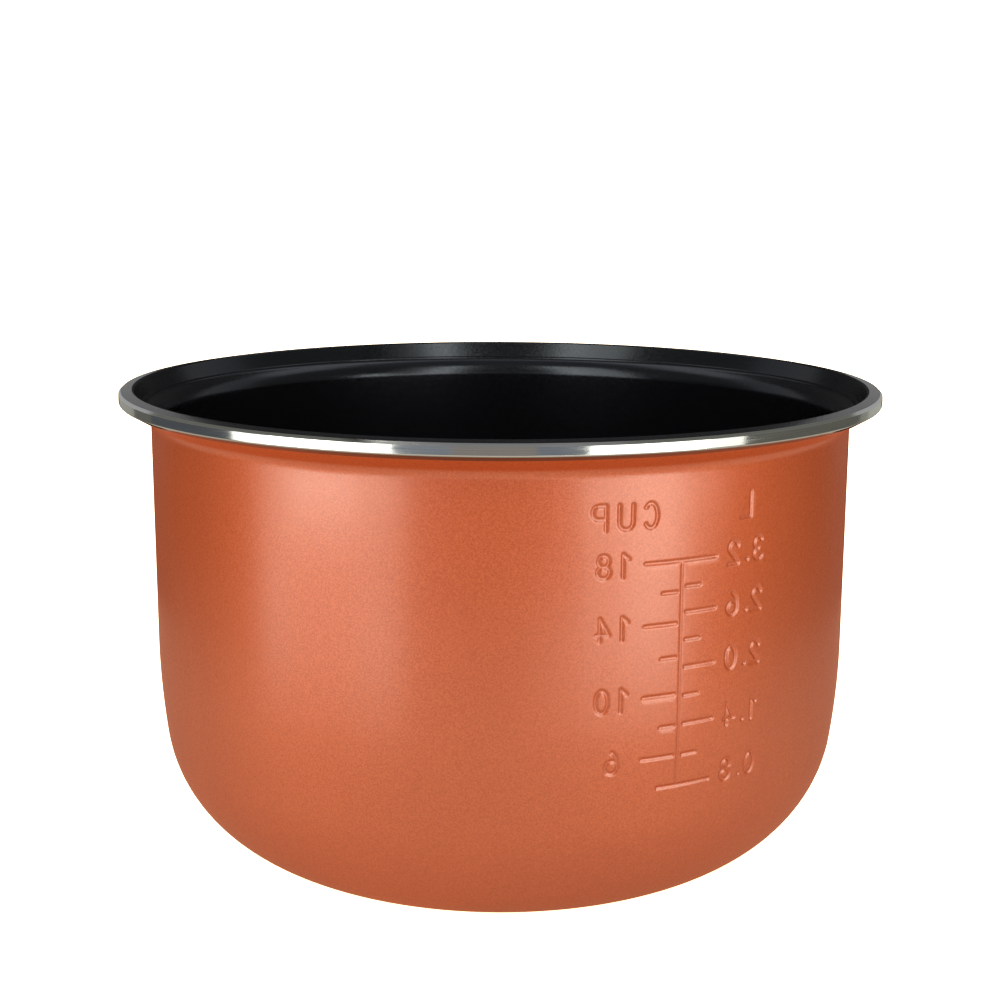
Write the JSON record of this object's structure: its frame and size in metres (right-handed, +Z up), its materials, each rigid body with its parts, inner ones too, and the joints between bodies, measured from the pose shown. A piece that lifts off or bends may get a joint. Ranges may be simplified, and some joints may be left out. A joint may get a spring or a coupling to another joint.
{
  "type": "rice cooker inner pot",
  "caption": "Round deep-drawn aluminium cooking pot with a turned rim edge, a stepped lip, a non-stick lining and a pressed level scale.",
  "frame": {"origin": "centre of the underside of the base, on the surface the pot stands on", "axes": "+Z up along the pot's axis, -Y towards the level scale pressed into the wall, +X to the right as seen facing the scale from outside"},
  "size_m": [0.28, 0.28, 0.176],
  "materials": {
    "bare_aluminium": "turned and bare at the rim edge and the base face",
    "nonstick": "satin black non-stick coating",
    "copper_coating": "baked metallic copper coating, satin gloss"
  },
  "bodies": {
    "root": {"pot_shell": "bare_aluminium", "nonstick_lining": "nonstick", "outer_coating": "copper_coating"}
  },
  "joints": []
}
